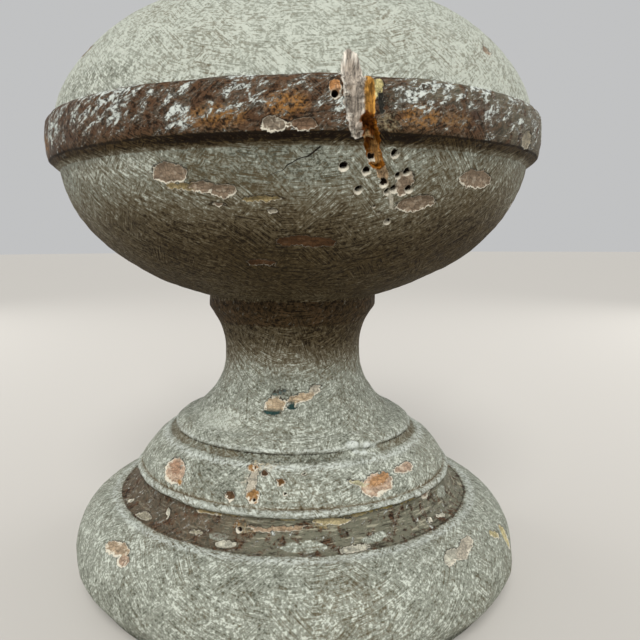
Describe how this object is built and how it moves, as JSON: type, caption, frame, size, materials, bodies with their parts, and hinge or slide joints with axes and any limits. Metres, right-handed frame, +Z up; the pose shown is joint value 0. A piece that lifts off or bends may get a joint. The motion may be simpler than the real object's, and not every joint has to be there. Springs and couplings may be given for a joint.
{
  "type": "turned spire finial",
  "caption": "Turned wooden spire in worn grey-green paint: stepped round foot, waisted neck, flattened ball with a raised brown band, tapering spire with a bud tip.",
  "frame": {"origin": "centre of the flat underside, on the turning axis", "axes": "+Z up along the turning axis, from the foot to the tip; -Y is the front, the side that the picture shows"},
  "size_m": [0.219, 0.219, 0.588],
  "materials": {
    "worn_paint_on_wood": "matt grey-green paint over brown, flaked and worn to the wood"
  },
  "bodies": {
    "root": {"turned_spire": "worn_paint_on_wood"}
  },
  "joints": []
}
